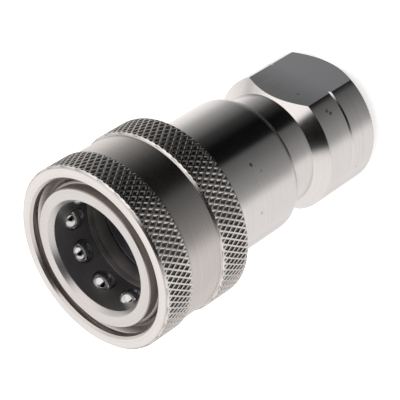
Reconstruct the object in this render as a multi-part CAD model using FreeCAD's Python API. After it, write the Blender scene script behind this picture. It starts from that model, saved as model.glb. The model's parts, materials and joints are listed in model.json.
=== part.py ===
import FreeCAD, Part
import math
import os

# The socket half of a half-inch ball-lock hydraulic quick coupler, turned from stainless steel.
# A spring-loaded knurled sleeve holds a ring of locking balls in the mouth, and a sprung valve
# closes the flow behind it. The far end is a screwed-in adapter with a threaded port.
# The coupler stands on its port end: Z is its axis, the mouth is up, and the origin is the
# middle of the port's end face. Millimetres. Depths are measured down from the sleeve's mouth face.

Vector = FreeCAD.Vector
full_turn = 360.0

# Overall length and small common sizes
overall_length = 70.65
edge_break = 0.3
seat_clearance = 0.05

# Socket bore, nose and the visible body cylinder with its rounded rear shoulder
bore_radius = 11.72
bore_lead_in = 0.76
bore_lead_in_length = 1.03
bore_land_length = 2.85
nose_wall = 3.14
nose_recess = 0.32
nose_bevel = 0.2
body_step = 0.22
body_shoulder_round = 3.0

# Locking balls in tapered pockets
ball_count = 10
ball_radius = 2.5
ball_ring_depth = 6.85
ball_protrusion = 1.7
ball_first_angle = 18.0
ball_pocket_clearance = 0.05
ball_lip_clearance = 0.03
ball_land_clearance = 0.27

# Hidden collar that backs the sleeve spring and guides the rear of the sleeve
collar_length = 2.9
collar_clearance = 0.08
collar_rear_bevel = 0.6

# Knurled sleeve, outside
sleeve_wall = 2.77
sleeve_overhang = 0.6
sleeve_rim_bevel = 0.5
sleeve_rear_bevel = 0.8
front_band_width = 6.35
rear_band_width = 6.75
band_step = 0.5

# Knurled sleeve, inside
mouth_bevel = 0.5
mouth_bore_length = 1.35
mouth_shoulder = 0.4
locking_land_lead = 0.4
locking_land_trail = 2.0
locking_land_height = 1.54

# Wire ring that keeps the sleeve on the nose
ring_wire_radius = 0.85
ring_stand_off = 0.43
ring_groove_clearance = 0.05
ring_gap_width = 3.0
ring_gap_angle = -42.0

# Sleeve spring
sleeve_spring_wire_radius = 0.65
sleeve_spring_turns = 3.5
sleeve_spring_room = 11.2

# Socket seal and its backup ring, side by side in one groove behind the balls
ball_to_seal_groove = 3.55
seal_width = 3.2
seal_height = 2.4
seal_bulge = 0.55
seal_protrusion = 0.25
seal_side_room = 0.2
backup_ring_width = 1.3
backup_ring_clearance = 0.1

# Valve seat plate and valve chamber
seat_ledge = 4.32
seat_chamfer = 0.6
seat_plate_thickness = 3.0
chamber_step = 1.32

# Valve poppet
flow_gap = 1.4
poppet_tip_recess = 0.3
poppet_tip_bevel = 0.8
poppet_head_thickness = 1.5
poppet_stem_radius = 2.5
poppet_stem_overrun = 1.0

# Moulded valve seal
valve_seal_overlap = 1.2
valve_seal_thickness = 1.5
valve_seal_bevel = 0.4

# Valve guide: rim, hub and spokes
guide_thickness = 2.0
guide_rim_wall = 1.8
guide_hub_wall = 1.42
guide_hub_front_reach = 2.0
guide_hub_rear_reach = 1.5
guide_spoke_width = 3.0
guide_spoke_count = 3
stem_running_clearance = 0.08

# Valve spring
valve_spring_wire_radius = 0.6
valve_spring_turns = 4.5
valve_spring_stand_off = 2.0
valve_spring_room = 11.6

# Adapter: spigot in the body, neck, cone, cylinder with two flats, threaded port
thread_step = 0.65
spigot_clearance = 0.05
spigot_wall = 3.0
spigot_seal_front = 2.55
spigot_seal_rear = 5.0
neck_step = 1.5
neck_length = 6.4
port_radius = 9.315
port_wall = 5.885
port_thread_length = 17.0
port_countersink = 1.2
flat_cut = 2.2
mark_groove_place = 7.2
mark_groove_width = 0.6
mark_groove_cut = 0.3

# Adapter seal in a groove on the spigot
adapter_seal_section_radius = 0.89
adapter_seal_room = 0.1

# Radii worked out from the bore outwards
nose_radius = bore_radius + nose_wall
body_radius = nose_radius + body_step
ball_rest_radius = bore_radius - ball_protrusion + ball_radius
locking_land_radius = ball_rest_radius + ball_radius + ball_land_clearance
mouth_radius = locking_land_radius + locking_land_height
ramp_radius = mouth_radius - mouth_shoulder
sleeve_chamber_radius = mouth_radius
sleeve_radius = mouth_radius + sleeve_wall
waist_radius = sleeve_radius - band_step
collar_radius = sleeve_chamber_radius - collar_clearance
sleeve_spring_radius = (nose_radius + sleeve_chamber_radius) / 2
ring_radius = nose_radius + ring_stand_off
seal_inner_radius = bore_radius - seal_protrusion
seal_shoulder_radius = seal_inner_radius + seal_bulge
seal_outer_radius = seal_inner_radius + seal_height
seal_groove_radius = seal_outer_radius + seat_clearance

# Radii of the valve and the adapter, worked out from the bore inwards
seat_hole_radius = bore_radius - seat_ledge
chamber_radius = bore_radius - chamber_step
poppet_shank_radius = seat_hole_radius - flow_gap
poppet_tip_radius = poppet_shank_radius - poppet_tip_bevel
poppet_head_radius = chamber_radius - flow_gap
valve_seal_outer_radius = seat_hole_radius + valve_seal_overlap
stem_bore_radius = poppet_stem_radius + stem_running_clearance
guide_hub_radius = stem_bore_radius + guide_hub_wall
valve_spring_radius = guide_hub_radius + valve_spring_stand_off
thread_radius = chamber_radius + thread_step
guide_rim_radius = thread_radius - seat_clearance
guide_rim_inner_radius = guide_rim_radius - guide_rim_wall
spigot_radius = thread_radius - spigot_clearance
adapter_passage_radius = spigot_radius - spigot_wall
neck_radius = spigot_radius + neck_step
adapter_end_radius = port_radius + port_wall
adapter_seal_ring_radius = thread_radius - seat_clearance - adapter_seal_section_radius

# Depths worked out from the ball ring backwards
shoulder_depth = mouth_bevel + mouth_bore_length
ramp_depth = shoulder_depth + mouth_shoulder
locking_land_front = ball_ring_depth - locking_land_lead
ramp_slope = (ramp_radius - locking_land_radius) / (locking_land_front - ramp_depth)
ring_reach = (ring_wire_radius + seat_clearance) * math.hypot(1, ramp_slope)
ring_depth = locking_land_front - (ring_radius + ring_reach - locking_land_radius) / ramp_slope
locking_land_end = ball_ring_depth + locking_land_trail
collar_front_depth = locking_land_end + sleeve_spring_room
collar_rear_depth = collar_front_depth + collar_length
sleeve_length = collar_rear_depth + sleeve_overhang
front_band_end = sleeve_rim_bevel + front_band_width
rear_band_start = sleeve_length - sleeve_rear_bevel - rear_band_width
seal_groove_front = ball_ring_depth + ball_to_seal_groove
backup_ring_front = seal_groove_front + seat_clearance
backup_ring_rear = backup_ring_front + backup_ring_width
seal_front = backup_ring_rear + seal_side_room / 2
seal_rear = seal_front + seal_width
seal_groove_rear = seal_rear + seal_side_room / 2
bore_floor_depth = seal_groove_rear + bore_land_length
poppet_tip_depth = bore_floor_depth + poppet_tip_recess
seat_plate_rear = bore_floor_depth + seat_plate_thickness
poppet_seat_depth = seat_plate_rear + seat_clearance
poppet_head_front = poppet_seat_depth + valve_seal_thickness
poppet_head_rear = poppet_head_front + poppet_head_thickness
guide_depth = poppet_head_rear + valve_spring_room
guide_rear = guide_depth + guide_thickness
guide_hub_front = guide_depth - guide_hub_front_reach
guide_hub_rear = guide_rear + guide_hub_rear_reach
poppet_stem_end_depth = guide_hub_rear + poppet_stem_overrun
spigot_front_depth = guide_rear + seat_clearance
adapter_seal_depth = spigot_front_depth + spigot_seal_front
body_end_depth = adapter_seal_depth + spigot_seal_rear
cone_start_depth = body_end_depth + neck_length
cone_end_depth = cone_start_depth + adapter_end_radius - neck_radius
mark_groove_depth = cone_end_depth + mark_groove_place


def height(depth):
    """Height above the port's end face of a depth below the mouth face."""
    return overall_length - depth


def turned(outline):
    """A turned solid from its half section, given as (radius, depth) points in order."""
    points = [Vector(radius, 0, height(depth)) for radius, depth in outline]
    section = Part.Face(Part.makePolygon(points + points[:1]))
    return section.revolve(Vector(0, 0, 0), Vector(0, 0, 1), full_turn)


def rounded_ring(radius, depth, section_radius):
    """A ring of round section."""
    return Part.makeTorus(radius, section_radius, Vector(0, 0, height(depth)))


def round_edges(shape, radius, depth):
    """The circular edges of a shape that have this radius and lie at this depth."""
    found = []
    for edge in shape.Edges:
        if not isinstance(edge.Curve, Part.Circle):
            continue
        same_size = math.isclose(edge.Curve.Radius, radius, abs_tol=1e-4)
        same_place = math.isclose(edge.Curve.Center.z, height(depth), abs_tol=1e-4)
        if same_size and same_place:
            found.append(edge)
    return found


def coil_spring(radius, wire_radius, turns, top_depth, bottom_depth):
    """A coil spring of round wire whose two ends are ground flat on their seats."""
    length = bottom_depth - top_depth
    path = Part.Wire(Part.makeHelix(length / turns, length, radius).Edges)
    section = Part.Wire(Part.makeCircle(wire_radius, Vector(radius, 0, 0), Vector(0, 1, 0)))
    coil = path.makePipeShell([section], True, True)
    reach = radius + 2 * wire_radius
    between_seats = Part.makeCylinder(reach, length)
    ground = Part.Solid(coil).common(between_seats)
    ground.translate(Vector(0, 0, height(bottom_depth)))
    return ground


def ball_angles():
    """The angles of the balls about the axis, in degrees."""
    return [ball_first_angle + full_turn * index / ball_count for index in range(ball_count)]


def ball_pocket():
    """The cutter of one ball pocket along X: a lip that stops the ball, then a straight bore."""
    lip_offset = ball_rest_radius - bore_radius
    lip_radius = math.sqrt(ball_radius ** 2 - lip_offset ** 2) + ball_lip_clearance
    pocket_radius = ball_radius + ball_pocket_clearance
    inner = bore_radius - ball_radius
    outer = nose_radius + ball_radius
    outline = [(inner, 0), (inner, lip_radius), (bore_radius, lip_radius),
               (ball_rest_radius, pocket_radius), (outer, pocket_radius), (outer, 0)]
    level = height(ball_ring_depth)
    points = [Vector(along, 0, level + away) for along, away in outline]
    section = Part.Face(Part.makePolygon(points + points[:1]))
    return section.revolve(Vector(0, 0, level), Vector(1, 0, 0), full_turn)


def make_body():
    """The socket body: nose, ball pockets, seal groove, collar, valve seat and rear thread bore."""
    outside = [(bore_radius + bore_lead_in, nose_recess), (nose_radius - nose_bevel, nose_recess),
               (nose_radius, nose_recess + nose_bevel), (nose_radius, collar_front_depth),
               (collar_radius, collar_front_depth),
               (collar_radius, collar_rear_depth - collar_rear_bevel),
               (collar_radius - collar_rear_bevel, collar_rear_depth),
               (body_radius, collar_rear_depth), (body_radius, body_end_depth)]
    inside = [(thread_radius, body_end_depth), (thread_radius, guide_depth), (chamber_radius, guide_depth),
              (chamber_radius, seat_plate_rear), (seat_hole_radius + seat_chamfer, seat_plate_rear),
              (seat_hole_radius, seat_plate_rear - seat_chamfer), (seat_hole_radius, bore_floor_depth),
              (bore_radius, bore_floor_depth), (bore_radius, seal_groove_rear),
              (seal_groove_radius, seal_groove_rear), (seal_groove_radius, seal_groove_front),
              (bore_radius, seal_groove_front), (bore_radius, nose_recess + bore_lead_in_length)]
    body = turned(outside + inside)
    body = body.makeFillet(body_shoulder_round, round_edges(body, body_radius, body_end_depth))
    pocket = ball_pocket()
    pockets = []
    for angle in ball_angles():
        turned_pocket = pocket.copy()
        turned_pocket.rotate(Vector(0, 0, 0), Vector(0, 0, 1), angle)
        pockets.append(turned_pocket)
    ring_groove = rounded_ring(ring_radius, ring_depth, ring_wire_radius + ring_groove_clearance)
    return body.cut(pockets + [ring_groove])


def make_adapter():
    """The port end: spigot, neck, cone and a cylinder with two wrench flats."""
    seal_half = adapter_seal_section_radius + adapter_seal_room
    seal_floor = adapter_seal_ring_radius - adapter_seal_section_radius - seat_clearance
    mark_front = mark_groove_depth - mark_groove_width / 2
    mark_rear = mark_groove_depth + mark_groove_width / 2
    port_floor = overall_length - port_thread_length
    outline = [(adapter_passage_radius, spigot_front_depth),
               (spigot_radius - edge_break, spigot_front_depth),
               (spigot_radius, spigot_front_depth + edge_break),
               (spigot_radius, adapter_seal_depth - seal_half), (seal_floor, adapter_seal_depth - seal_half),
               (seal_floor, adapter_seal_depth + seal_half), (spigot_radius, adapter_seal_depth + seal_half),
               (spigot_radius, body_end_depth), (neck_radius, body_end_depth),
               (neck_radius, cone_start_depth), (adapter_end_radius, cone_end_depth),
               (adapter_end_radius, mark_front),
               (adapter_end_radius - mark_groove_cut, mark_groove_depth),
               (adapter_end_radius, mark_rear), (adapter_end_radius, overall_length - flat_cut),
               (adapter_end_radius - flat_cut, overall_length),
               (port_radius + port_countersink, overall_length),
               (port_radius, overall_length - port_countersink), (port_radius, port_floor),
               (adapter_passage_radius, port_floor - (port_radius - adapter_passage_radius))]
    adapter = turned(outline)
    flat_cutters = []
    for side in (0, 180):
        cutter = Part.makeBox(adapter_end_radius, 2 * adapter_end_radius, height(body_end_depth),
                              Vector(adapter_end_radius - flat_cut, -adapter_end_radius, 0))
        cutter.rotate(Vector(0, 0, 0), Vector(0, 0, 1), side)
        flat_cutters.append(cutter)
    return adapter.cut(flat_cutters)


def make_sleeve():
    """The sleeve: two grip bands, a waist, the ramp and land over the balls, and the spring chamber."""
    outside = [(mouth_radius + mouth_bevel, 0), (sleeve_radius - sleeve_rim_bevel, 0),
               (sleeve_radius, sleeve_rim_bevel), (sleeve_radius, front_band_end),
               (waist_radius, front_band_end + band_step), (waist_radius, rear_band_start - band_step),
               (sleeve_radius, rear_band_start), (sleeve_radius, sleeve_length - sleeve_rear_bevel),
               (sleeve_radius - sleeve_rear_bevel, sleeve_length)]
    inside = [(sleeve_chamber_radius, sleeve_length), (sleeve_chamber_radius, locking_land_end),
              (locking_land_radius, locking_land_end), (locking_land_radius, locking_land_front),
              (ramp_radius, ramp_depth), (mouth_radius, shoulder_depth), (mouth_radius, mouth_bevel)]
    return turned(outside + inside)


def make_retaining_ring():
    """The split wire ring in the groove of the nose."""
    gap = math.degrees(ring_gap_width / ring_radius)
    section = Part.Face(Part.Wire(Part.makeCircle(
        ring_wire_radius, Vector(ring_radius, 0, height(ring_depth)), Vector(0, 1, 0))))
    ring = section.revolve(Vector(0, 0, 0), Vector(0, 0, 1), full_turn - gap)
    ring.rotate(Vector(0, 0, 0), Vector(0, 0, 1), ring_gap_angle + gap / 2)
    return ring


def make_ball(angle):
    """One locking ball, resting on the lip of its pocket."""
    turn = math.radians(angle)
    across = ball_rest_radius * math.cos(turn)
    along = ball_rest_radius * math.sin(turn)
    return Part.makeSphere(ball_radius, Vector(across, along, height(ball_ring_depth)))


def make_sleeve_spring():
    """The spring that pushes the sleeve towards the mouth."""
    return coil_spring(sleeve_spring_radius, sleeve_spring_wire_radius, sleeve_spring_turns,
                       locking_land_end + seat_clearance, collar_front_depth - seat_clearance)


def make_socket_seal():
    """The rubber ring that seals on the inserted half: flat in its groove, bulged towards the bore."""
    front = Vector(seal_shoulder_radius, 0, height(seal_front))
    rear = Vector(seal_shoulder_radius, 0, height(seal_rear))
    crest = Vector(seal_inner_radius, 0, (front.z + rear.z) / 2)
    bulge = Part.Arc(front, crest, rear).toShape()
    groove_side = Part.makePolygon([rear, Vector(seal_outer_radius, 0, rear.z),
                                    Vector(seal_outer_radius, 0, front.z), front])
    section = Part.Face(Part.Wire([bulge] + groove_side.Edges))
    return section.revolve(Vector(0, 0, 0), Vector(0, 0, 1), full_turn)


def make_backup_ring():
    """The flat ring that keeps the socket seal from being squeezed out of its groove."""
    inner = bore_radius - backup_ring_clearance
    outer = seal_groove_radius - seat_clearance
    return turned([(inner, backup_ring_front), (outer, backup_ring_front),
                   (outer, backup_ring_rear), (inner, backup_ring_rear)])


def make_poppet():
    """The valve: a nose that the other half pushes, a head behind the seat, and a guided stem."""
    shank_start = poppet_tip_depth + poppet_tip_bevel
    return turned([(0, poppet_tip_depth), (poppet_tip_radius, poppet_tip_depth),
                   (poppet_shank_radius, shank_start), (poppet_shank_radius, poppet_head_front),
                   (poppet_head_radius, poppet_head_front), (poppet_head_radius, poppet_head_rear),
                   (poppet_stem_radius, poppet_head_rear),
                   (poppet_stem_radius, poppet_stem_end_depth - edge_break),
                   (poppet_stem_radius - edge_break, poppet_stem_end_depth), (0, poppet_stem_end_depth)])


def make_valve_seal():
    """The moulded ring on the shank that closes against the seat plate."""
    front = poppet_seat_depth
    return turned([(poppet_shank_radius, front), (valve_seal_outer_radius - valve_seal_bevel, front),
                   (valve_seal_outer_radius, front + valve_seal_bevel),
                   (valve_seal_outer_radius, poppet_head_front), (poppet_shank_radius, poppet_head_front)])


def make_valve_guide():
    """The spider that carries the stem and backs the valve spring."""
    rim = turned([(guide_rim_inner_radius, guide_depth), (guide_rim_radius, guide_depth),
                  (guide_rim_radius, guide_rear), (guide_rim_inner_radius, guide_rear)])
    hub = turned([(stem_bore_radius, guide_hub_front), (guide_hub_radius, guide_hub_front),
                  (guide_hub_radius, guide_hub_rear), (stem_bore_radius, guide_hub_rear)])
    hub_middle = (stem_bore_radius + guide_hub_radius) / 2
    rim_middle = (guide_rim_inner_radius + guide_rim_radius) / 2
    spokes = []
    for index in range(guide_spoke_count):
        spoke = Part.makeBox(rim_middle - hub_middle, guide_spoke_width, guide_thickness,
                             Vector(hub_middle, -guide_spoke_width / 2, height(guide_rear)))
        spoke.rotate(Vector(0, 0, 0), Vector(0, 0, 1), full_turn * index / guide_spoke_count)
        spokes.append(spoke)
    return hub.fuse([rim] + spokes).removeSplitter()


def make_valve_spring():
    """The spring that closes the valve."""
    return coil_spring(valve_spring_radius, valve_spring_wire_radius, valve_spring_turns,
                       poppet_head_rear + seat_clearance, guide_depth - seat_clearance)


def make_adapter_seal():
    """The rubber ring between the spigot and the body."""
    return rounded_ring(adapter_seal_ring_radius, adapter_seal_depth, adapter_seal_section_radius)


pieces = {
    "body": make_body(),
    "adapter": make_adapter(),
    "sleeve": make_sleeve(),
    "retaining_ring": make_retaining_ring(),
    "sleeve_spring": make_sleeve_spring(),
    "socket_seal": make_socket_seal(),
    "backup_ring": make_backup_ring(),
    "poppet": make_poppet(),
    "valve_seal": make_valve_seal(),
    "valve_guide": make_valve_guide(),
    "valve_spring": make_valve_spring(),
    "adapter_seal": make_adapter_seal(),
}
for index, angle in enumerate(ball_angles()):
    pieces[f"ball_{index + 1}"] = make_ball(angle)

os.makedirs("parts", exist_ok=True)
for name, shape in pieces.items():
    shape.exportStep(f"parts/{name}.step")
    print(name, "valid", shape.isValid(), "solids", len(shape.Solids), "volume", round(shape.Volume, 2))
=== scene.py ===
import bmesh
import bpy
import json
import math
from mathutils import Matrix, Vector


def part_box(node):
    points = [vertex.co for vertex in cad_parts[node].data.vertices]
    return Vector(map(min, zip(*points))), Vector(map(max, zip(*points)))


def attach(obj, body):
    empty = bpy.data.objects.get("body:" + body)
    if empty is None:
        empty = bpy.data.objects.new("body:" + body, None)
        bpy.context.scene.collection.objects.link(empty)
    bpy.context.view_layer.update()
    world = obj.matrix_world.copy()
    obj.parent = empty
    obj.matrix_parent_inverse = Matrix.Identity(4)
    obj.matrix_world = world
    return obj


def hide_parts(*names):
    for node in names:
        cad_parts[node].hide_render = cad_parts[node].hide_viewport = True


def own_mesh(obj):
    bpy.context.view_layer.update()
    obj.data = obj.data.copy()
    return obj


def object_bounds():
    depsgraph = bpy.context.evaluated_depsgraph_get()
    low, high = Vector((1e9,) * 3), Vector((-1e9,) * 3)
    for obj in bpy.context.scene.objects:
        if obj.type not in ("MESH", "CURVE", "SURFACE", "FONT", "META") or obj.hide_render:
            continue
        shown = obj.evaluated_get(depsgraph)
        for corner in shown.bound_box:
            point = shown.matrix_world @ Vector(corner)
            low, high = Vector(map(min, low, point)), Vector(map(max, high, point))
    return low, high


# The socket half of a ball-lock hydraulic quick coupler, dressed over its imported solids: turned stainless
# body and port adapter, knurled sliding sleeve, polished locking balls, seals, springs and port thread.
# Sizes are in millimetres. Depths are measured down from the sleeve's mouth face, as on a maker's drawing.

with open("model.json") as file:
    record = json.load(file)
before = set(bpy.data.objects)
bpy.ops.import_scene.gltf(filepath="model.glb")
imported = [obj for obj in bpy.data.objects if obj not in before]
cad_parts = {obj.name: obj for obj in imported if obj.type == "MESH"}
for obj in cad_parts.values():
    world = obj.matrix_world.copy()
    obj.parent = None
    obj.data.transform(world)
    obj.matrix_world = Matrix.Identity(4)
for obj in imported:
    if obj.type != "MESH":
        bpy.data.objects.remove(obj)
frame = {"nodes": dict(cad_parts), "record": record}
cad_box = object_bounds()

mm = 0.001
full_turn = 360.0
weld = 0.0005 * mm
turning_segments = 256
corner_steps = 4
sharp_angle = math.radians(22)
mounts = {mount["name"]: mount for mount in frame["record"]["mounts"]}

# Sizes read from the frame
overall_length = cad_box[1][2] / mm
bore_radius = mounts["socket"]["dims"]["r_mm"]
port_radius = mounts["port"]["dims"]["r_mm"]

# Roundings of corners, from a fine deburred edge to a soft turned one
groove_edge = 0.05
fine_edge = 0.06
lead_in_edge = 0.08
plain_edge = 0.1
rim_edge = 0.12
broken_edge = 0.15
soft_edge = 0.2
wide_edge = 0.3

# Body
nose_recess = 0.32
nose_wall = 3.14
nose_radius = bore_radius + nose_wall
nose_bevel = 0.2
body_step = 0.22
body_radius = nose_radius + body_step
bore_lead_in = 0.76
bore_lead_in_end = 1.35
bore_floor = 18.0
seat_plate_rear = 21.0
seat_hole_radius = 7.4
seat_bevel = 0.6
chamber_radius = 10.4
thread_bore_radius = 11.05
guide_depth = 35.65
collar_front = 20.05
collar_rear = 22.95
collar_radius = 16.75
collar_bevel = 0.6
body_end = 45.25
shoulder_round = 3.0
seal_groove_front = 10.4
seal_groove_rear = 15.15
seal_groove_radius = 13.92

# Locking balls and their pockets
ball_count = 10
ball_radius = 2.5
ball_depth = 6.85
ball_first_angle = 18.0
ball_protrusion = 1.7
ball_rest_radius = bore_radius - ball_protrusion + ball_radius
ball_segments = 48
ball_rings = 32
pocket_clearance = 0.05
pocket_radius = ball_radius + pocket_clearance
pocket_lip_radius = 2.4

# Sliding sleeve
sleeve_radius = 19.6
sleeve_length = 23.55
mouth_radius = 16.83
mouth_bevel = 0.5
waist_radius = 19.1
rim_bevel = 0.5
rear_bevel = 0.8
front_band = (0.5, 6.85)
rear_band = (16.0, 22.75)
locking_land_radius = 15.29
locking_land_end = 8.85
shoulder_depth = 1.85

# Knurl; the profile of a pit gives shares of its size and of its depth, from the crest to the floor
knurl_starts = 84
knurl_length = 2.29
knurl_width = math.tau * sleeve_radius / knurl_starts
pit_depth = 0.28
pit_profile = [(1.0, 0.0), (0.82, 0.0), (0.73, 0.1), (0.61, 0.36), (0.48, 0.66), (0.33, 0.92), (0.17, 1.0)]
pit_corners = [(0.5, 0), (0, 0.5), (-0.5, 0), (0, -0.5)]
knurl_run_out = 0.8
knurl_end_share = 0.25
knurl_ring_wall = 0.25
knurl_clearance = 0.2
knurl_foot = sleeve_radius - pit_depth
knurl_bed = knurl_foot - knurl_ring_wall

# Wire ring, seals and springs
ring_radius = nose_radius
ring_wire_radius = 0.5
ring_wire_points = 24
ring_clearance = 0.05
ring_bed_radius = ring_wire_radius + ring_clearance
ring_bed_points = 12
ring_depth = 3.04
ring_gap_degrees = 11.2
ring_gap_angle = -42.0
seal_front = 11.8
seal_rear = 14.8
seal_protrusion = 0.25
seal_points = 16
seal_clearance = 0.05
seal_outer_radius = seal_groove_radius - seal_clearance
backup_front = 10.45
backup_rear = 11.75
backup_protrusion = 0.1
sleeve_wire_radius = 0.65
sleeve_turns = 3.5
valve_wire_radius = 0.6
valve_turns = 4.5

# Valve
poppet_tip = 18.3
poppet_tip_radius = 5.2
shank_radius = 6.0
head_radius = 9.0
head_front = 22.55
head_rear = 24.05
stem_radius = 2.5
stem_end = 40.15
stem_bevel = 0.3
valve_seal_front = 21.05
valve_seal_radius = 8.6
valve_seal_bevel = 0.4

# Port adapter
passage_radius = 8.0
spigot_front = 37.7
spigot_radius = 11.0
spigot_bevel = 0.3
spigot_seal = (39.26, 41.24)
spigot_seal_floor = 9.17
neck_radius = 12.5
cone_start = 51.65
cone_end = 54.35
adapter_radius = 15.2
flat_distance = 12.99
end_bevel = 2.2
mark_groove = 61.55
mark_groove_half = 0.3
thread_pitch = 1.814
thread_depth = 1.16
thread_root_radius = port_radius + thread_depth
thread_wall = 0.15
thread_wall_radius = thread_root_radius + thread_wall
thread_end = 54.45
thread_relief_end = 53.25
thread_relief_slope = 0.9
port_countersink = 1.2


def linear(code):
    """The linear colour, with alpha, of an sRGB hex code."""
    levels = [int(code[place:place + 2], 16) / 255 for place in (1, 3, 5)]
    return [level / 12.92 if level <= 0.04045 else ((level + 0.055) / 1.055) ** 2.4
            for level in levels] + [1.0]


def add(tree, kind, links=None, **settings):
    """Adds a node with its settings; links gives each input a value, a socket or a node's first output."""
    node = tree.nodes.new(kind)
    for name, value in settings.items():
        setattr(node, name, value)
    for socket, value in (links or {}).items():
        if isinstance(value, bpy.types.Node):
            value = value.outputs[0]
        if isinstance(value, bpy.types.NodeSocket):
            tree.links.new(value, node.inputs[socket])
        else:
            node.inputs[socket].default_value = value
    return node


def ramp(node, stops):
    """Sets the stops of a colour ramp, given as (place, colour)."""
    elements = node.color_ramp.elements
    while len(elements) < len(stops):
        elements.new(0.5)
    for element, (place, colour) in zip(elements, stops):
        element.position = place
        element.color = colour
    return node


def height(depth):
    """Height above the port's end face of a depth below the mouth face."""
    return overall_length - depth


# Materials

# Nearly all of a noise pattern lies between these two levels
noise_low = 0.3
noise_high = 0.7


def new_material(name):
    """A new material and its empty node tree."""
    material = bpy.data.materials.new(name)
    material.use_nodes = True
    material.node_tree.nodes.clear()
    return material, material.node_tree


def end_material(tree, surface):
    """Ends a material's tree with its shader, given what goes into the shader's sockets."""
    shader = add(tree, "ShaderNodeBsdfPrincipled", surface)
    add(tree, "ShaderNodeOutputMaterial", {"Surface": shader})


def on_round(depth, angle, radius):
    """A place on a turned face, from its depth, the angle round the axis and the face's radius."""
    turn = math.radians(angle)
    return radius * math.cos(turn), radius * math.sin(turn), height(depth)


def nicked(tree, place, colour, nicks):
    """The colour with a small dark ragged nick at each (place, radius, strength) of the list."""
    nick_colour = linear("#6E6864")
    ragged_size, ragged_shift, solid_share = 0.5, 0.5, 0.5
    noise = add(tree, "ShaderNodeTexNoise",
                {"Vector": place, "Scale": 1 / (ragged_size * mm), "Detail": 2.0})
    ragged = add(tree, "ShaderNodeVectorMath",
                 {0: noise.outputs["Color"], 1: [ragged_shift * mm] * 3, 2: place}, operation="MULTIPLY_ADD")
    for spot, radius, strength in nicks:
        middle = [(part + ragged_shift / 2) * mm for part in spot]
        away = add(tree, "ShaderNodeVectorMath", {0: ragged, 1: middle}, operation="DISTANCE")
        share = add(tree, "ShaderNodeMapRange", {0: away.outputs["Value"], 1: radius * mm,
                                                 2: solid_share * radius * mm, 3: 0.0, 4: strength})
        blended = add(tree, "ShaderNodeMix", {0: share, 6: colour, 7: nick_colour}, data_type="RGBA")
        colour = blended.outputs[2]
    return colour


def turned_metal(name, light, dark, rough, mark_spacing, mark_height, nicks=()):
    """Metal turned on a lathe: fine rings round the axis, slow changes of tone, and a few nicks from use."""
    material, tree = new_material(name)
    cloud_size, dark_tone, light_tone = 9.0, 0.12, 0.42
    place = add(tree, "ShaderNodeTexCoord").outputs["Object"]
    parts = add(tree, "ShaderNodeSeparateXYZ", {0: place})
    flat = add(tree, "ShaderNodeCombineXYZ", {0: parts.outputs[0], 1: parts.outputs[1]})
    radius = add(tree, "ShaderNodeVectorMath", {0: flat}, operation="LENGTH").outputs["Value"]
    section = add(tree, "ShaderNodeCombineXYZ", {0: radius, 1: parts.outputs[2]})
    marks = add(tree, "ShaderNodeTexNoise",
                {"Vector": section, "Scale": 1 / (mark_spacing * mm), "Detail": 2.0}, noise_dimensions="2D")
    cloud = add(tree, "ShaderNodeTexNoise",
                {"Vector": place, "Scale": 1 / (cloud_size * mm), "Detail": 3.0})
    tone = add(tree, "ShaderNodeMath", {0: marks, 1: cloud}, operation="MULTIPLY")
    colour = ramp(add(tree, "ShaderNodeValToRGB", {0: tone}),
                  [(dark_tone, linear(dark)), (light_tone, linear(light))]).outputs[0]
    if nicks:
        colour = nicked(tree, place, colour, nicks)
    roughness = add(tree, "ShaderNodeMapRange",
                    {0: cloud, 1: noise_low, 2: noise_high, 3: rough[0], 4: rough[1]})
    bump = add(tree, "ShaderNodeBump", {"Strength": 1.0, "Distance": mark_height * mm, "Height": marks})
    end_material(tree, {"Base Color": colour, "Metallic": 1.0, "Roughness": roughness, "Normal": bump})
    return material


def knurled_metal(name, crest, side, floor, edge_tint, rough):
    """Metal with a rolled knurl: bright crests, painted shade that darkens the sides and floors of the pits,
    and a fine grain in the shine.
    """
    material, tree = new_material(name)
    grain_size, crest_end, side_middle = 0.4, 0.05, 0.6
    pit = add(tree, "ShaderNodeAttribute", attribute_name="pit").outputs["Fac"]
    # Painted shade: the colour darkens from the crest to the pit floor with the depth share
    colour = ramp(add(tree, "ShaderNodeValToRGB", {0: pit}),
                  [(crest_end, linear(crest)), (side_middle, linear(side)), (1.0, linear(floor))])
    place = add(tree, "ShaderNodeTexCoord").outputs["Object"]
    grain = add(tree, "ShaderNodeTexNoise",
                {"Vector": place, "Scale": 1 / (grain_size * mm), "Detail": 2.0})
    roughness = add(tree, "ShaderNodeMapRange",
                    {0: grain, 1: noise_low, 2: noise_high, 3: rough[0], 4: rough[1]})
    end_material(tree, {"Base Color": colour, "Metallic": 1.0, "Specular Tint": linear(edge_tint),
                        "Roughness": roughness})
    return material


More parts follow.
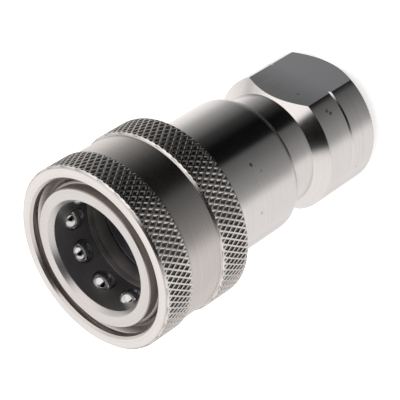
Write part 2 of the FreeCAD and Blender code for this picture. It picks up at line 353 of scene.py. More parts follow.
def milled_metal(name, front, rear, rough, nicks):
    """Metal milled along the axis: straight marks, and a tone that goes from the front end to the rear."""
    material, tree = new_material(name)
    mark_width, mark_run, mark_share = 0.5, 12.0, 0.35
    rear_height, front_height = 2.0, 16.0
    front_tone, rear_tone = 0.1, 0.75
    place = add(tree, "ShaderNodeTexCoord").outputs["Object"]
    lines = add(tree, "ShaderNodeMapping",
                {0: place, "Scale": (mark_width * mm, mark_width * mm, mark_run * mm)},
                vector_type="TEXTURE")
    marks = add(tree, "ShaderNodeTexNoise", {"Vector": lines, "Scale": 1.0, "Detail": 3.0})
    parts = add(tree, "ShaderNodeSeparateXYZ", {0: place})
    along = add(tree, "ShaderNodeMapRange",
                {0: parts.outputs[2], 1: rear_height * mm, 2: front_height * mm, 3: 1.0, 4: 0.0})
    streaks = add(tree, "ShaderNodeMath", {0: marks, 1: mark_share}, operation="MULTIPLY")
    tone = add(tree, "ShaderNodeMath", {0: along, 1: streaks}, operation="ADD")
    colour = ramp(add(tree, "ShaderNodeValToRGB", {0: tone}),
                  [(front_tone, linear(front)), (rear_tone, linear(rear))])
    roughness = add(tree, "ShaderNodeMapRange",
                    {0: marks, 1: noise_low, 2: noise_high, 3: rough[0], 4: rough[1]})
    end_material(tree, {"Base Color": nicked(tree, place, colour.outputs[0], nicks), "Metallic": 1.0,
                        "Roughness": roughness})
    return material


def rubber(name, light, dark, grain):
    """Moulded rubber or filled plastic: dull, with a fine grain and slow patches of bloom."""
    material, tree = new_material(name)
    bloom_size, grain_height, grain_strength = 4.0, 0.01, 0.4
    dark_tone, light_tone = 0.35, 0.7
    rough = (0.45, 0.65)
    place = add(tree, "ShaderNodeTexCoord").outputs["Object"]
    speckle = add(tree, "ShaderNodeTexNoise", {"Vector": place, "Scale": 1 / (grain * mm), "Detail": 2.0})
    bloom = add(tree, "ShaderNodeTexNoise",
                {"Vector": place, "Scale": 1 / (bloom_size * mm), "Detail": 2.0})
    colour = ramp(add(tree, "ShaderNodeValToRGB", {0: bloom}),
                  [(dark_tone, linear(dark)), (light_tone, linear(light))])
    roughness = add(tree, "ShaderNodeMapRange",
                    {0: speckle, 1: noise_low, 2: noise_high, 3: rough[0], 4: rough[1]})
    bump = add(tree, "ShaderNodeBump",
               {"Strength": grain_strength, "Distance": grain_height * mm, "Height": speckle})
    end_material(tree, {"Base Color": colour, "Roughness": roughness, "Normal": bump})
    return material


# Spacing and height of the tool's marks, drawn wider than the real ones so that they show
fine_feed = (0.3, 0.00005)
coarse_feed = (0.4, 0.0002)
wire_drawing = (0.5, 0.001)
ball_polish = (1.0, 0.0002)
# Nicks from use, as (place, radius, strength)
body_nicks = [(on_round(33.3, -45.5, body_radius), 0.55, 0.9),
              (on_round(34.9, -53.5, body_radius), 0.4, 0.3),
              (on_round(32.3, -84, body_radius), 0.4, 0.35)]
adapter_nicks = [(on_round(57.7, -42, adapter_radius), 0.5, 0.7),
                 (on_round(58.3, -45, adapter_radius), 0.5, 0.8),
                 (on_round(63.4, -101.5, adapter_radius), 0.4, 0.35)]
flat_nicks = [((flat_distance, -3.5, height(56.4)), 0.5, 0.4)]

# Stainless steel, fine turned: a satin shine with faint rings. Real marks are 0.1 mm apart, drawn at 0.3 mm.
turned_stainless = turned_metal("stainless_fine_turned", "#DAD8D7", "#D3D1D0", (0.15, 0.21), *fine_feed,
                                body_nicks + adapter_nicks)
# Stainless steel, turned with a coarser feed on the sleeve: a softer shine than the body's.
sleeve_stainless = turned_metal("stainless_coarse_turned", "#CAC6C3", "#C1BDBA", (0.23, 0.29), *coarse_feed)
# Stainless steel, faced: the end of the nose, cut square and a little duller than its side.
faced_stainless = turned_metal("stainless_faced", "#CFCDCC", "#C8C6C5", (0.24, 0.3), *coarse_feed)
# Stainless steel, rubbed by use: the lead-in of the bore, worn soft by each nose that is pushed in.
worn_stainless = turned_metal("stainless_worn", "#CFCDCC", "#C8C6C5", (0.33, 0.4), *coarse_feed)
# Stainless steel, bored: dull, and darker than the turned steel as painted shade inside the bore.
bored_painted_shade = turned_metal("stainless_bored_painted_shade", "#B9B8B7", "#B0AFAE", (0.37, 0.45), *coarse_feed)
# Stainless steel, bored, behind the seal: darker and bluer than the turned steel, as painted shade deep in
# the bore.
deep_bore_painted_shade = turned_metal("stainless_bored_deep_painted_shade", "#8F9197", "#85878D", (0.26, 0.34), *coarse_feed)
# Stainless steel, turned, in the closed gap between nose and sleeve: brown and darker as painted shade.
gap_painted_shade = turned_metal("stainless_turned_gap_painted_shade", "#9E9893", "#948E89", (0.3, 0.4), *coarse_feed)
# Stainless steel, drilled: the ball pockets, painted nearly black as shade.
pocket_painted_shade = turned_metal("stainless_drilled_pocket_painted_shade", "#3A3836", "#343230", (0.4, 0.5), *coarse_feed)
# Stainless steel, rolled knurl: brighter crests, with painted shade that darkens each pit towards its floor.
knurled_stainless = knurled_metal("stainless_rolled_knurl", "#DAD8D6", "#BAB6B2", "#6A6662", "#B8B5B2",
                                  (0.16, 0.26))
# Stainless steel, milled: the wrench flats, with faint straight marks along the axis and a colour darker
# towards the front end.
milled_stainless = milled_metal("stainless_milled", "#BFBEC1", "#E9E8EC", (0.16, 0.24), flat_nicks)
# Spring steel, drawn wire: darker and a little duller than the turned steel.
drawn_wire = turned_metal("spring_steel_drawn", "#B4B1AE", "#94918E", (0.26, 0.36), *wire_drawing)
# Bearing steel, ground and polished: a near mirror.
polished_balls = turned_metal("bearing_steel_polished", "#C8C8C9", "#C0C0C1", (0.04, 0.07), *ball_polish)
# Nitrile rubber, moulded: a dull, worn grey with a soft grain.
black_rubber = rubber("nitrile_rubber_moulded", "#868381", "#726F6D", 0.25)
# Filled PTFE, turned: a dull grey plastic with a coarser grain.
backup_plastic = rubber("filled_ptfe_turned", "#868382", "#72706E", 0.4)


# Making the pieces


def round_corners(outline):
    """The (radius, depth) points of an outline, with an arc at each corner that has a rounding as well."""
    points = []
    for index, corner in enumerate(outline):
        here = Vector(corner[:2])
        if len(corner) < 3:
            points.append(here)
            continue
        rounding = corner[2]
        to_before = (Vector(outline[index - 1][:2]) - here).normalized()
        to_after = (Vector(outline[(index + 1) % len(outline)][:2]) - here).normalized()
        half = to_before.angle(to_after) / 2
        centre = here + (to_before + to_after).normalized() * rounding / math.sin(half)
        first = here + to_before * rounding / math.tan(half) - centre
        last = here + to_after * rounding / math.tan(half) - centre
        for step in range(corner_steps + 1):
            points.append(centre + first.lerp(last, step / corner_steps).normalized() * rounding)
    return points


def circle_arc(radius, depth, section_radius, start, end, steps):
    """Points of an arc in the half section, with angles in degrees from outwards towards the mouth."""
    points = []
    for step in range(steps):
        turn = math.radians(start + (end - start) * step / (steps - 1))
        points.append((radius + section_radius * math.cos(turn), depth - section_radius * math.sin(turn)))
    return points


def lathe(section, start=0.0, sweep=full_turn):
    """A closed mesh turned about the axis from (radius, height) points."""
    mesh = bmesh.new()
    count = round(turning_segments * sweep / full_turn)
    whole = sweep == full_turn
    rings = []
    for index in range(count if whole else count + 1):
        turn = Matrix.Rotation(math.radians(start + sweep * index / count), 3, "Z")
        rings.append([mesh.verts.new(turn @ Vector((radius, 0, level)) * mm) for radius, level in section])
    if whole:
        rings.append(rings[0])
    else:
        mesh.faces.new(rings[0])
        mesh.faces.new(rings[-1])
    for ring, after in zip(rings, rings[1:]):
        for place in range(len(section)):
            mesh.faces.new((ring[place - 1], ring[place], after[place], after[place - 1]))
    bmesh.ops.remove_doubles(mesh, verts=mesh.verts, dist=weld)
    bmesh.ops.recalc_face_normals(mesh, faces=mesh.faces)
    return mesh


def turned(outline, start=0.0, sweep=full_turn):
    """A mesh turned from its outline: (radius, depth) or (radius, depth, rounding) points in order."""
    return lathe([(radius, height(depth)) for radius, depth in round_corners(outline)], start, sweep)


def plain(name, mesh):
    """The plain mesh of what has been made."""
    data = bpy.data.meshes.new(name)
    mesh.to_mesh(data)
    mesh.free()
    return data


def cut(blank, tool, operation):
    """The plain mesh of a blank less a tool (DIFFERENCE), or of what the two share (INTERSECT)."""
    holders = [bpy.data.objects.new(mesh.name, mesh) for mesh in (blank, tool)]
    for holder in holders:
        bpy.context.scene.collection.objects.link(holder)
    modifier = holders[0].modifiers.new("cut", "BOOLEAN")
    modifier.object = holders[1]
    modifier.operation = operation
    modifier.solver = "EXACT"
    evaluated = holders[0].evaluated_get(bpy.context.evaluated_depsgraph_get())
    left = bpy.data.meshes.new_from_object(evaluated)
    for holder in holders:
        bpy.data.objects.remove(holder)
    return left


def show(name, mesh, material, body, slot, *nodes):
    """Makes a mesh a finished piece that rides on a body and stands for its CAD nodes."""
    data = plain(name, mesh) if isinstance(mesh, bmesh.types.BMesh) else mesh
    data.shade_smooth()
    data.set_sharp_from_angle(angle=sharp_angle)
    data.materials.clear()
    data.materials.append(material)
    piece = bpy.data.objects.new(name, data)
    bpy.context.scene.collection.objects.link(piece)
    even = piece.modifiers.new("even_shading", "WEIGHTED_NORMAL")
    even.keep_sharp = True
    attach(piece, body)
    if nodes:
        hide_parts(*nodes)
    return piece


def new_tree(name, sizes):
    """A Geometry Nodes tree with named sizes and a material, and the sockets that give them."""
    tree = bpy.data.node_groups.new(name, "GeometryNodeTree")
    tree.interface.new_socket("Geometry", in_out="INPUT", socket_type="NodeSocketGeometry")
    for size in sizes:
        tree.interface.new_socket(size, in_out="INPUT", socket_type="NodeSocketFloat")
    tree.interface.new_socket("Material", in_out="INPUT", socket_type="NodeSocketMaterial")
    tree.interface.new_socket("Geometry", in_out="OUTPUT", socket_type="NodeSocketGeometry")
    return tree, add(tree, "NodeGroupInput").outputs


def end_tree(tree, geometry, material):
    """Ends a tree: real faces, welded, with their material."""
    real = add(tree, "GeometryNodeRealizeInstances", {0: geometry})
    welded = add(tree, "GeometryNodeMergeByDistance", {"Geometry": real, "Distance": weld})
    finished = add(tree, "GeometryNodeSetMaterial", {"Geometry": welded, "Material": material})
    add(tree, "NodeGroupOutput", {0: finished})
    return tree


def grow(tree, base, values):
    """The plain mesh that a tree makes from a base mesh with these values for its named inputs."""
    holder = bpy.data.objects.new(tree.name, base)
    bpy.context.scene.collection.objects.link(holder)
    modifier = holder.modifiers.new(tree.name, "NODES")
    modifier.node_group = tree
    for item in tree.interface.items_tree:
        if item.name in values:
            modifier[item.identifier] = values[item.name]
    evaluated = holder.evaluated_get(bpy.context.evaluated_depsgraph_get())
    mesh = bpy.data.meshes.new_from_object(evaluated)
    bpy.data.objects.remove(holder)
    return mesh


def rolled(tree, geometry, radius, angle, level):
    """Rolls a flat sheet into a ring: each point goes to this radius, angle and height."""
    spoke = add(tree, "ShaderNodeCombineXYZ", {0: radius, 2: level})
    turn = add(tree, "ShaderNodeVectorRotate", {"Vector": spoke, "Angle": angle}, rotation_type="Z_AXIS")
    return add(tree, "GeometryNodeSetPosition", {"Geometry": geometry, "Position": turn})


def closed_ring(mesh, wall_radius):
    """Closes a rolled sheet with a plain hidden wall at a radius."""
    ring = bmesh.new()
    ring.from_mesh(mesh)
    bmesh.ops.dissolve_degenerate(ring, edges=ring.edges, dist=weld)
    rims = [edge for edge in ring.edges if edge.is_boundary]
    grown = bmesh.ops.extrude_edge_only(ring, edges=rims)["geom"]
    for vertex in grown:
        if isinstance(vertex, bmesh.types.BMVert):
            vertex.co.xy *= wall_radius * mm / vertex.co.xy.length
    bmesh.ops.bridge_loops(ring, edges=[edge for edge in ring.edges if edge.is_boundary])
    bmesh.ops.recalc_face_normals(ring, faces=ring.faces)
    ring.to_mesh(mesh)
    ring.free()
    return mesh


# Knurl


def diamond_pit():
    """One pit: a diamond with a flat crest round it, a steep side and a small floor."""
    side_count = len(pit_corners)
    ring_count = 2 * side_count
    points = []
    for share, drop in pit_profile:
        for step in range(ring_count):
            side, halfway = divmod(step, 2)
            here = Vector(pit_corners[side])
            after = Vector(pit_corners[(side + 1) % side_count])
            flat = here.lerp(after, 0.5 * halfway) * share
            points.append((flat.x * knurl_width * mm, flat.y * knurl_length * mm, -drop * pit_depth * mm))
    faces = []
    for first in range(0, len(points) - ring_count, ring_count):
        for step in range(ring_count):
            here = first + step
            after = first + (step + 1) % ring_count
            faces.append((here, after, after + ring_count, here + ring_count))
    faces.append(tuple(range(len(points) - ring_count, len(points))))
    cell = bpy.data.meshes.new("diamond_pit")
    cell.from_pydata(points, [], faces)
    return cell


def knurl_tree():
    """Diamond pits on two staggered grids, less deep towards the band's ends, rolled round the sleeve."""
    sizes = ["Radius", "Pit Depth", "Width", "Length", "Starts", "Rows", "Low", "High"]
    tree, given = new_tree("knurl_band", sizes)
    last_start = add(tree, "ShaderNodeMath", {0: given["Starts"], 1: 1.0}, operation="SUBTRACT")
    last_row = add(tree, "ShaderNodeMath", {0: given["Rows"], 1: 1.0}, operation="SUBTRACT")
    span_around = add(tree, "ShaderNodeMath", {0: last_start, 1: given["Width"]}, operation="MULTIPLY")
    span_along = add(tree, "ShaderNodeMath", {0: last_row, 1: given["Length"]}, operation="MULTIPLY")
    places = add(tree, "GeometryNodeMeshGrid", {"Size X": span_around, "Size Y": span_along,
                                                "Vertices X": given["Starts"], "Vertices Y": given["Rows"]})
    whole_step = add(tree, "ShaderNodeCombineXYZ", {0: given["Width"], 1: given["Length"]})
    half_step = add(tree, "ShaderNodeVectorMath", {0: whole_step, "Scale": 0.5}, operation="SCALE")
    between = add(tree, "GeometryNodeTransform", {"Geometry": places, "Translation": half_step})
    both = add(tree, "GeometryNodeJoinGeometry", {0: places})
    tree.links.new(between.outputs[0], both.inputs[0])
    pits = add(tree, "GeometryNodeInstanceOnPoints", {"Points": both, "Instance": given["Geometry"]})
    sheet = add(tree, "GeometryNodeRealizeInstances", {0: pits})
    spot = add(tree, "ShaderNodeSeparateXYZ", {0: add(tree, "GeometryNodeInputPosition")})
    sunk = add(tree, "ShaderNodeMath", {0: spot.outputs[2], 1: given["Pit Depth"]}, operation="DIVIDE")
    share = add(tree, "ShaderNodeMath", {0: sunk, 1: -1.0}, operation="MULTIPLY")
    # The depth share of each point, which the knurl's material turns into painted shade
    marked = add(tree, "GeometryNodeStoreNamedAttribute", {"Geometry": sheet, "Name": "pit", "Value": share},
                 data_type="FLOAT", domain="POINT")
    both_ends = add(tree, "ShaderNodeMath", {0: given["Low"], 1: given["High"]}, operation="ADD")
    middle = add(tree, "ShaderNodeMath", {0: both_ends, 1: 0.5}, operation="MULTIPLY")
    level = add(tree, "ShaderNodeMath", {0: spot.outputs[1], 1: middle}, operation="ADD")
    from_low = add(tree, "ShaderNodeMath", {0: level, 1: given["Low"]}, operation="SUBTRACT")
    from_high = add(tree, "ShaderNodeMath", {0: given["High"], 1: level}, operation="SUBTRACT")
    from_end = add(tree, "ShaderNodeMath", {0: from_low, 1: from_high}, operation="MINIMUM")
    pressed = add(tree, "ShaderNodeMapRange",
                  {0: from_end, 1: 0.0, 2: knurl_run_out * mm, 3: knurl_end_share, 4: 1.0})
    sunk_to = add(tree, "ShaderNodeMath", {0: spot.outputs[2], 1: pressed}, operation="MULTIPLY")
    out_to = add(tree, "ShaderNodeMath", {0: sunk_to, 1: given["Radius"]}, operation="ADD")
    around = add(tree, "ShaderNodeMath", {0: spot.outputs[0], 1: given["Radius"]}, operation="DIVIDE")
    return end_tree(tree, rolled(tree, marked, out_to, around, level), given["Material"])


knurl_band = knurl_tree()


def knurled(band):
    """The knurled ring of one band, given by its two depths, cut to the band and its bevels."""
    front, rear = band
    spare_rows = 2
    rows = math.ceil((rear - front) / knurl_length) + spare_rows
    values = {"Radius": sleeve_radius * mm, "Pit Depth": pit_depth * mm, "Width": knurl_width * mm,
              "Length": knurl_length * mm, "Starts": float(knurl_starts), "Rows": float(rows),
              "Low": height(rear) * mm, "High": height(front) * mm, "Material": knurled_stainless}
    pitted = closed_ring(grow(knurl_band, diamond_pit(), values), knurl_bed - knurl_ring_wall)
    blank_radius = sleeve_radius + knurl_clearance
    blank = turned([(knurl_bed, front - pit_depth), (knurl_foot, front - pit_depth),
                    (blank_radius, front + knurl_clearance), (blank_radius, rear - knurl_clearance),
                    (knurl_foot, rear + pit_depth), (knurl_bed, rear + pit_depth)])
    return cut(pitted, plain("knurl_blank", blank), "INTERSECT")


# Port thread
thread_length = height(thread_end)


def thread_tree():
    """A flat grid, sheared by its lead and rolled, so that each row of points follows one helix."""
    rows_per_pitch, turn_steps, spare_pitches = 10, 128, 2
    rows = math.ceil(thread_length / thread_pitch + spare_pitches) * rows_per_pitch + 1
    tree, given = new_tree("port_thread", ["Crest Radius", "Root Radius", "Pitch", "Length", "Countersink"])
    grid = add(tree, "GeometryNodeMeshGrid", {"Size X": math.tau, "Size Y": (rows - 1) / rows_per_pitch,
                                              "Vertices X": turn_steps + 1, "Vertices Y": rows})
    spot = add(tree, "ShaderNodeSeparateXYZ", {0: add(tree, "GeometryNodeInputPosition")})
    lead = add(tree, "ShaderNodeMath", {0: spot.outputs[0], 1: math.tau}, operation="DIVIDE")
    turns = add(tree, "ShaderNodeMath", {0: lead, 1: spot.outputs[1]}, operation="ADD")
    climb = add(tree, "ShaderNodeMath", {0: turns, 1: given["Pitch"]}, operation="MULTIPLY")
    half_length = add(tree, "ShaderNodeMath", {0: given["Length"], 1: 0.5}, operation="MULTIPLY")
    along = add(tree, "ShaderNodeMath", {0: climb, 1: half_length}, operation="ADD")
    level = add(tree, "ShaderNodeClamp", {0: along, 1: 0.0, 2: given["Length"]})
    phase = add(tree, "ShaderNodeMath", {0: spot.outputs[1], 1: math.tau}, operation="MULTIPLY")
    wave = add(tree, "ShaderNodeMath", {0: phase}, operation="COSINE")
    profile = add(tree, "ShaderNodeMapRange",
                  {0: wave, 1: -1.0, 2: 1.0, 3: given["Root Radius"], 4: given["Crest Radius"]})
    sink = add(tree, "ShaderNodeMath", {0: given["Crest Radius"], 1: given["Countersink"]}, operation="ADD")
    sunk_radius = add(tree, "ShaderNodeMath", {0: sink, 1: level}, operation="SUBTRACT")
    opened = add(tree, "ShaderNodeMath", {0: profile, 1: sunk_radius}, operation="MAXIMUM")
    to_end = add(tree, "ShaderNodeMath", {0: given["Length"], 1: level}, operation="SUBTRACT")
    run_out = add(tree, "ShaderNodeMath", {0: given["Root Radius"], 1: to_end}, operation="SUBTRACT")
    radius = add(tree, "ShaderNodeMath", {0: opened, 1: run_out}, operation="MAXIMUM")
    return end_tree(tree, rolled(tree, grid, radius, spot.outputs[0], level), given["Material"])


# Springs


def spring_tree():
    """A wire swept along a spiral, with both ends ground flat."""
    turn_steps, wire_steps = 64, 16
    tree, given = new_tree("coil_spring", ["Coil Radius", "Wire Radius", "Turns", "Length", "Base"])
    spiral = add(tree, "GeometryNodeCurveSpiral",
                 {"Resolution": turn_steps, "Rotations": given["Turns"], "Start Radius": given["Coil Radius"],
                  "End Radius": given["Coil Radius"], "Height": given["Length"]})
    wire = add(tree, "GeometryNodeCurvePrimitiveCircle",
               {"Resolution": wire_steps, "Radius": given["Wire Radius"]})
    coil = add(tree, "GeometryNodeCurveToMesh", {"Curve": spiral, "Profile Curve": wire, "Fill Caps": True})
    spot = add(tree, "ShaderNodeSeparateXYZ", {0: add(tree, "GeometryNodeInputPosition")})
    ground = add(tree, "ShaderNodeClamp", {0: spot.outputs[2], 1: 0.0, 2: given["Length"]})
    raised = add(tree, "ShaderNodeMath", {0: ground, 1: given["Base"]}, operation="ADD")
    seated = add(tree, "ShaderNodeCombineXYZ", {0: spot.outputs[0], 1: spot.outputs[1], 2: raised})
    placed = add(tree, "GeometryNodeSetPosition", {"Geometry": coil, "Position": seated})
    return end_tree(tree, placed, given["Material"])


coil_spring = spring_tree()


def spring(node, wire_radius, turns):
    """The spring that fills the place of a CAD spring."""
    low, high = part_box(node)
    values = {"Coil Radius": high[0] - wire_radius * mm, "Wire Radius": wire_radius * mm, "Turns": turns,
              "Length": high[2] - low[2], "Base": low[2], "Material": drawn_wire}
    return grow(coil_spring, bpy.data.meshes.new(node + "_coil"), values)


# Body, with the ball pockets cut through its nose
bed_half = math.degrees(math.acos((nose_radius - ring_radius) / ring_bed_radius))
body_outline = [(bore_radius + bore_lead_in, nose_recess, lead_in_edge),
                (nose_radius - nose_bevel, nose_recess, fine_edge),
                (nose_radius, nose_recess + nose_bevel, fine_edge)]
body_outline += circle_arc(ring_radius, ring_depth, ring_bed_radius, bed_half, full_turn - bed_half,
                           ring_bed_points)
body_outline += [(nose_radius, collar_front), (collar_radius, collar_front),
                 (collar_radius, collar_rear - collar_bevel), (collar_radius - collar_bevel, collar_rear),
                 (body_radius, collar_rear), (body_radius, body_end, shoulder_round),
                 (thread_bore_radius, body_end, plain_edge), (thread_bore_radius, guide_depth),
                 (chamber_radius, guide_depth), (chamber_radius, seat_plate_rear),
                 (seat_hole_radius + seat_bevel, seat_plate_rear),
                 (seat_hole_radius, seat_plate_rear - seat_bevel),
                 (seat_hole_radius, bore_floor, plain_edge), (bore_radius, bore_floor, wide_edge),
                 (bore_radius, seal_groove_rear, plain_edge), (seal_groove_radius, seal_groove_rear),
                 (seal_groove_radius, seal_groove_front), (bore_radius, seal_groove_front, plain_edge),
                 (bore_radius, bore_lead_in_end, broken_edge)]
pocket_inner = bore_radius - ball_radius
pocket_outer = nose_radius + ball_radius
pocket_section = [(0, pocket_inner), (pocket_lip_radius, pocket_inner), (pocket_lip_radius, bore_radius),
                  (pocket_radius, ball_rest_radius), (pocket_radius, pocket_outer), (0, pocket_outer)]
ball_angles = [ball_first_angle + full_turn * index / ball_count for index in range(ball_count)]
lying = Matrix.Rotation(math.radians(90), 4, "Y")
pocket_place = Matrix.Translation((0, 0, height(ball_depth) * mm)) @ lying
pockets = bmesh.new()
for angle in ball_angles:
    pocket = lathe(pocket_section)
    pocket.transform(Matrix.Rotation(math.radians(angle), 4, "Z") @ pocket_place)
    pockets.from_mesh(plain("ball_pocket", pocket))
body_mesh = cut(plain("body_blank", turned(body_outline)), plain("ball_pockets", pockets), "DIFFERENCE")
show("turned_body", body_mesh, turned_stainless, "coupler", "turned_stainless", "body")

# Finishes of the body's faces, and the painted shade in its bore, gap and ball pockets
facing_up = 0.9
lead_in_margin = 1.0
nose_margin = 0.2
bore_margin = 0.02
body_finishes_and_shade = [turned_stainless, bored_painted_shade, faced_stainless, gap_painted_shade, pocket_painted_shade,
                 worn_stainless, deep_bore_painted_shade]


def body_finish_and_shade(depth, radius, upward):
    """The finish of a face of the body, with painted shade in the bore, the gap and the ball pockets, from
    where it lies and how far it faces the mouth.
    """
    if depth < nose_recess + nose_bevel and upward > facing_up:
        return faced_stainless
    if depth < bore_lead_in_end and radius < nose_radius - lead_in_margin:
        return worn_stainless
    if depth < collar_front and radius > nose_radius - nose_margin:
        return gap_painted_shade
    if abs(depth - ball_depth) < pocket_radius and radius > bore_radius + bore_margin:
        return pocket_painted_shade
    if bore_lead_in_end < depth < seal_groove_front and radius < nose_radius:
        return bored_painted_shade
    if seal_groove_front <= depth < guide_depth and radius < nose_radius:
        return deep_bore_painted_shade
    return turned_stainless


for finish_and_shade in body_finishes_and_shade[1:]:
    body_mesh.materials.append(finish_and_shade)
for face in body_mesh.polygons:
    finish_and_shade = body_finish_and_shade(overall_length - face.center.z / mm, face.center.xy.length / mm, face.normal.z)
    face.material_index = body_finishes_and_shade.index(finish_and_shade)

# Port adapter, with its two wrench flats and its thread
adapter_outline = [(passage_radius, spigot_front, soft_edge), (spigot_radius - spigot_bevel, spigot_front),
                   (spigot_radius, spigot_front + spigot_bevel), (spigot_radius, spigot_seal[0]),
                   (spigot_seal_floor, spigot_seal[0]), (spigot_seal_floor, spigot_seal[1]),
                   (spigot_radius, spigot_seal[1]), (spigot_radius, body_end),
                   (neck_radius, body_end, plain_edge), (neck_radius, cone_start, soft_edge),
                   (adapter_radius, cone_end, broken_edge),
                   (adapter_radius, mark_groove - mark_groove_half, groove_edge),
                   (adapter_radius - mark_groove_half, mark_groove),
                   (adapter_radius, mark_groove + mark_groove_half, groove_edge),
                   (adapter_radius, overall_length - end_bevel, wide_edge),
                   (adapter_radius - end_bevel, overall_length, broken_edge),
                   (thread_wall_radius, overall_length), (thread_wall_radius, thread_relief_end, soft_edge),
                   (passage_radius, thread_relief_end - thread_relief_slope, soft_edge)]
adapter_mesh = turned(adapter_outline)
for side in (-1, 1):
    whole = adapter_mesh.verts[:] + adapter_mesh.edges[:] + adapter_mesh.faces[:]
    milled = bmesh.ops.bisect_plane(adapter_mesh, geom=whole, dist=weld, clear_outer=True,
                                    plane_co=(side * flat_distance * mm, 0, 0), plane_no=(side, 0, 0))
    rim = [edge for edge in milled["geom_cut"] if isinstance(edge, bmesh.types.BMEdge)]
    bmesh.ops.contextual_create(adapter_mesh, geom=rim)
bmesh.ops.recalc_face_normals(adapter_mesh, faces=adapter_mesh.faces)
adapter_piece = show("port_adapter", adapter_mesh, turned_stainless, "coupler", "turned_stainless",
                     "adapter")
adapter_piece.data.materials.append(milled_stainless)
flat_facing = 0.999
flat_margin = 0.01
for face in adapter_piece.data.polygons:
    if abs(face.normal.x) > flat_facing and abs(face.center.x) > (flat_distance - flat_margin) * mm:
        face.material_index = 1
thread_values = {"Crest Radius": port_radius * mm, "Root Radius": thread_root_radius * mm,
                 "Pitch": thread_pitch * mm, "Length": thread_length * mm,
                 "Countersink": port_countersink * mm, "Material": turned_stainless}
thread_mesh = grow(thread_tree(), bpy.data.meshes.new("port_thread"), thread_values)
show("port_thread", closed_ring(thread_mesh, thread_wall_radius), turned_stainless, "coupler",
     "turned_stainless")

# Sleeve: a turned shell with a shallow bed for each knurled ring, and a finer cut on its mouth face
sleeve_outline = [(mouth_radius + mouth_bevel, 0, plain_edge), (sleeve_radius - rim_bevel, 0, rim_edge),
                  (knurl_foot, front_band[0] - pit_depth), (knurl_bed, front_band[0] - pit_depth),
                  (knurl_bed, front_band[1] + pit_depth), (knurl_foot, front_band[1] + pit_depth),
                  (waist_radius, front_band[1] + sleeve_radius - waist_radius, plain_edge),
                  (waist_radius, rear_band[0] - sleeve_radius + waist_radius, plain_edge),
                  (knurl_foot, rear_band[0] - pit_depth), (knurl_bed, rear_band[0] - pit_depth),
                  (knurl_bed, rear_band[1] + pit_depth), (knurl_foot, rear_band[1] + pit_depth),
                  (sleeve_radius - rear_bevel, sleeve_length, rim_edge),
                  (mouth_radius, sleeve_length, plain_edge), (mouth_radius, locking_land_end),
                  (locking_land_radius, locking_land_end, soft_edge),
                  (locking_land_radius, shoulder_depth + mouth_radius - locking_land_radius, soft_edge),
                  (mouth_radius, shoulder_depth, fine_edge), (mouth_radius, mouth_bevel, plain_edge)]
sleeve_piece = show("sleeve_shell", turned(sleeve_outline), sleeve_stainless, "sleeve", "knurled_stainless",
                    "sleeve")
sleeve_piece.data.materials.append(turned_stainless)
face_margin = 0.1
for face in sleeve_piece.data.polygons:
    if face.normal.z > facing_up and face.center.z > height(face_margin) * mm:
        face.material_index = 1
show("front_knurl", knurled(front_band), knurled_stainless, "sleeve", "knurled_stainless")
show("rear_knurl", knurled(rear_band), knurled_stainless, "sleeve", "knurled_stainless")

# Locking balls, each on its own body
for index, angle in enumerate(ball_angles):
    ball = bmesh.new()
    bmesh.ops.create_uvsphere(ball, u_segments=ball_segments, v_segments=ball_rings, radius=ball_radius * mm)
    ball.transform(Matrix.Rotation(math.radians(angle), 4, "Z")
                   @ Matrix.Translation((ball_rest_radius * mm, 0, height(ball_depth) * mm)) @ lying)
    node = f"ball_{index + 1}"
    show("locking_" + node, ball, polished_balls, node, "ball_steel", node)

# Wire ring and mouth seals
ring_section = circle_arc(ring_radius, ring_depth, ring_wire_radius, 0,
                          full_turn * (ring_wire_points - 1) / ring_wire_points, ring_wire_points)
ring_mesh = turned(ring_section, ring_gap_angle + ring_gap_degrees / 2, full_turn - ring_gap_degrees)
show("wire_ring", ring_mesh, drawn_wire, "coupler", "spring_steel", "retaining_ring")
seal_half = (seal_rear - seal_front) / 2
bulge_radius = (seal_half ** 2 + seal_protrusion ** 2) / (2 * seal_protrusion)
bulge_angle = math.degrees(math.asin(seal_half / bulge_radius))
seal_outline = circle_arc(bore_radius - seal_protrusion + bulge_radius, seal_front + seal_half,
                          bulge_radius, 180 - bulge_angle, 180 + bulge_angle, seal_points)
seal_outline += [(seal_outer_radius, seal_rear), (seal_outer_radius, seal_front)]
show("mouth_seal", turned(seal_outline), black_rubber, "coupler", "black_rubber", "socket_seal")
backup_radius = bore_radius - backup_protrusion
backup_outline = [(backup_radius, backup_front, broken_edge), (seal_outer_radius, backup_front, plain_edge),
                  (seal_outer_radius, backup_rear, plain_edge), (backup_radius, backup_rear, broken_edge)]
show("mouth_backup_ring", turned(backup_outline), backup_plastic, "coupler", "backup_plastic", "backup_ring")

# Valve
poppet_outline = [(0, poppet_tip), (poppet_tip_radius, poppet_tip, soft_edge),
                  (shank_radius, poppet_tip + shank_radius - poppet_tip_radius, soft_edge),
                  (shank_radius, head_front), (head_radius, head_front, plain_edge),
                  (head_radius, head_rear, plain_edge), (stem_radius, head_rear),
                  (stem_radius, stem_end - stem_bevel, plain_edge), (stem_radius - stem_bevel, stem_end),
                  (0, stem_end)]
# The poppet takes the same painted shade as the deep bore
show("valve_poppet", turned(poppet_outline), deep_bore_painted_shade, "valve", "turned_stainless", "poppet")
valve_seal_outline = [(shank_radius, valve_seal_front),
                      (valve_seal_radius - valve_seal_bevel, valve_seal_front, broken_edge),
                      (valve_seal_radius, valve_seal_front + valve_seal_bevel, broken_edge),
                      (valve_seal_radius, head_front), (shank_radius, head_front)]
show("valve_face_seal", turned(valve_seal_outline), black_rubber, "valve", "black_rubber", "valve_seal")

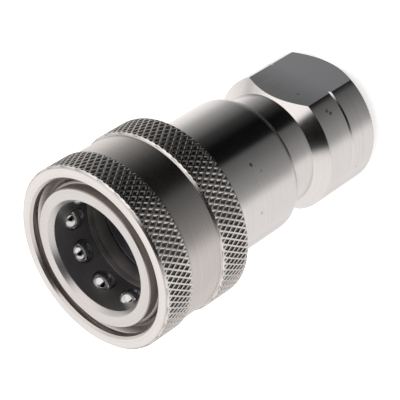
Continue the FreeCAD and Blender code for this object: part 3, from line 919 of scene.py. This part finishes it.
# Springs, each in the place of its CAD spring
springs = [("sleeve_coil", "sleeve_spring", "sleeve_slide", sleeve_wire_radius, sleeve_turns),
           ("valve_coil", "valve_spring", "valve_slide", valve_wire_radius, valve_turns)]
for name, node, joint, wire_radius, turns in springs:
    coil = show(name, spring(node, wire_radius, turns), drawn_wire, "coupler", "spring_steel", node)
    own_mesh(coil)

# Hidden pieces that keep their CAD shape
for node, material in (("valve_guide", turned_stainless), ("adapter_seal", black_rubber)):
    frame["nodes"][node].data.materials.clear()
    frame["nodes"][node].data.materials.append(material)

# Floor: a pale painted board
floor_half = 4.0
floor_corners = [(-floor_half, -floor_half, 0), (floor_half, -floor_half, 0), (floor_half, floor_half, 0),
                 (-floor_half, floor_half, 0)]
floor_data = bpy.data.meshes.new("floor")
floor_data.from_pydata(floor_corners, [], [(0, 1, 2, 3)])
floor = bpy.data.objects.new("floor", floor_data)
bpy.context.scene.collection.objects.link(floor)
floor.visible_glossy = False
pale_floor, floor_tree = new_material("painted_board_pale")
end_material(floor_tree, {"Base Color": linear("#F4F3F2"), "Roughness": 0.8,
                          "Emission Color": linear("#FFFFFF"), "Emission Strength": 0.6})
floor_data.materials.append(pale_floor)

# Studio: white walls to the sides, and a dark room on the side of one wrench flat
world = bpy.data.worlds.new("studio")
bpy.context.scene.world = world
world.use_nodes = True
sky = world.node_tree
sky.nodes.clear()
direction = add(sky, "ShaderNodeTexCoord").outputs["Generated"]
toward = add(sky, "ShaderNodeSeparateXYZ", {0: direction})
bearing = add(sky, "ShaderNodeMath", {0: toward.outputs[1], 1: toward.outputs[0]}, operation="ARCTAN2")
compass = add(sky, "ShaderNodeMapRange", {0: bearing, 1: -math.pi, 2: math.pi, 3: 0.0, 4: 1.0})
green_loss = 0.035
blue_loss = 0.05


def around_studio(stops):
    """Brightness round the studio, a little warm where it is bright, from (degrees from +X, brightness)."""
    tinted = [((angle + 180) / full_turn,
               (level, level * (1 - green_loss * level), level * (1 - blue_loss * level), 1.0))
              for angle, level in stops]
    return ramp(add(sky, "ShaderNodeValToRGB", {0: compass}), tinted).outputs[0]


def blend(steepness, edge, below, above):
    """Goes from one part of the studio to the next between two steepnesses: -1 is down and 1 is up."""
    share = add(sky, "ShaderNodeMapRange", {0: steepness, 1: edge[0], 2: edge[1], 3: 0.0, 4: 1.0},
                interpolation_type="SMOOTHSTEP")
    return add(sky, "ShaderNodeMix", {0: share, 6: below, 7: above}, data_type="RGBA").outputs[2]


under = (0.08, 0.077, 0.074, 1.0)
low_walls = around_studio([(-180, 1.0), (-120, 1.03), (-104, 1.02), (-88, 0.48), (-76, 0.36), (-45, 0.18),
                           (-30, 0.13), (-24, 0.006), (6, 0.004), (28, 0.05), (45, 0.225), (65, 0.48),
                           (86, 0.98), (108, 1.15), (160, 0.88)])
level_walls = around_studio([(-180, 1.15), (-110, 1.12), (-92, 0.8), (-82, 0.25), (-72, 0.06), (-24, 0.03),
                             (28, 0.05), (50, 0.2), (70, 0.5), (86, 1.05), (108, 1.2), (160, 1.1)])
high_walls = around_studio([(-180, 1.18), (-112, 1.12), (-104, 0.95), (-98, 0.55), (-92, 0.006), (-66, 0.0),
                            (-52, 0.008), (-33, 0.02), (-25, 1.35), (8, 1.35), (25, 1.4), (45, 1.25),
                            (62, 1.0), (80, 1.1), (95, 1.4), (150, 1.14)])
ceiling = (0.3, 0.295, 0.29, 1.0)
steep = toward.outputs[2]
# The high walls reach furthest down on the side that the wrench flat mirrors
lean = (0.19, 0.16, 1.0)
leaning = add(sky, "ShaderNodeVectorMath", {0: direction, 1: lean}, operation="DOT_PRODUCT").outputs["Value"]
low_edge = (-0.92, -0.76)
level_edge = (-0.45, -0.2)
high_edge = (0.38, 0.56)
ceiling_edge = (0.93, 0.99)
room = blend(steep, low_edge, under, low_walls)
room = blend(steep, level_edge, room, level_walls)
room = blend(leaning, high_edge, room, high_walls)
room = blend(steep, ceiling_edge, room, ceiling)
# The picture's own background is plain white
seen = add(sky, "ShaderNodeLightPath").outputs["Is Camera Ray"]
backdrop = add(sky, "ShaderNodeMix", {0: seen, 6: room, 7: linear("#FDFDFD")}, data_type="RGBA")
glow = add(sky, "ShaderNodeBackground", {"Color": backdrop.outputs[2], "Strength": 1.0})
add(sky, "ShaderNodeOutputWorld", {"Surface": glow})
bpy.context.scene.view_settings.view_transform = "Standard"

# Camera at the photograph's viewing angle
camera_place = Vector((203.63, -182.79, 251.35)) * mm
camera_right = Vector((0.02605, -0.74373, -0.66797))
camera_up = Vector((0.80489, 0.41188, -0.42721))
camera_data = bpy.data.cameras.new("camera")
camera_data.sensor_width = 36.0
camera_data.lens = 154.4
camera_data.clip_start = 0.01
camera = bpy.data.objects.new("camera", camera_data)
axes = Matrix((camera_right, camera_up, camera_right.cross(camera_up))).transposed()
camera.matrix_world = Matrix.Translation(camera_place) @ axes.to_4x4()
bpy.context.scene.collection.objects.link(camera)
bpy.context.scene.camera = camera
